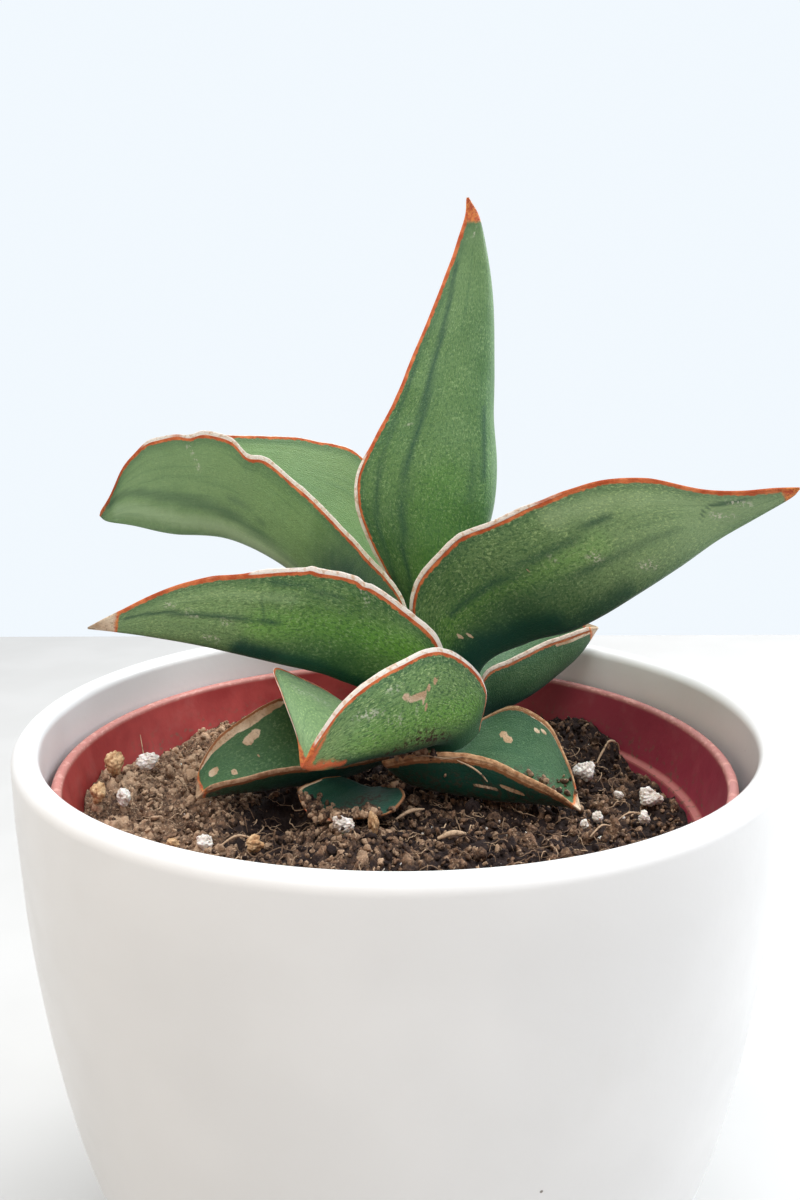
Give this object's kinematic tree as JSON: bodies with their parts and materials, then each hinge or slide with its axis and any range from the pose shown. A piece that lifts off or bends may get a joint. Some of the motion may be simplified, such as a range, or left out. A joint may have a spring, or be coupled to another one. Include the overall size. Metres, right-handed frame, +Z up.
{
  "type": "potted snake plant",
  "caption": "Young snake plant with folded, keeled leaves in a plastic nursery pot of soil, standing in a round white glazed cover pot.",
  "frame": {"origin": "centre of the cover pot's flat base, on the surface that it stands on", "axes": "+Z up along the pot's axis; the plant is seen from -Y, with its long right-hand leaf towards +X"},
  "size_m": [0.1337, 0.132, 0.2113],
  "materials": {
    "white_glaze": "smooth satin white glaze",
    "terracotta_plastic": "moulded red-brown plastic, slightly dusty",
    "leaf_skin": "waxy green skin with darker lengthwise bands, pale stipple and an orange and papery white edge",
    "stem_tissue": "pale fibrous stem with dry leaf scars",
    "peat_soil": "crumbly brown peat with fibres",
    "perlite": "chalky white porous grains",
    "tan_stone": "rough tan grit"
  },
  "bodies": {
    "root": {"cover_pot": "white_glaze", "nursery_pot": "terracotta_plastic", "potting_soil": "peat_soil", "crown": "stem_tissue", "leaf_centre_upright": "leaf_skin", "leaf_right_arching": "leaf_skin", "leaf_left_lower": "leaf_skin", "leaf_left_back": "leaf_skin", "leaf_front_short": "leaf_skin", "leaf_right_back": "leaf_skin", "leaf_low_left": "leaf_skin", "leaf_low_right": "leaf_skin", "leaf_low_front": "leaf_skin", "perlite_back_left": "perlite", "perlite_left": "perlite", "perlite_rim_left": "perlite", "perlite_front": "perlite", "perlite_low_leaf": "perlite", "perlite_right_small": "perlite", "perlite_right": "perlite", "perlite_right_front": "perlite", "perlite_leaf_tip": "perlite", "perlite_tip_small": "perlite", "pebble_back_left": "tan_stone", "pebble_left": "tan_stone", "pebble_rim_left": "tan_stone", "pebble_front_left": "tan_stone", "pebble_front": "tan_stone"}
  },
  "joints": []
}
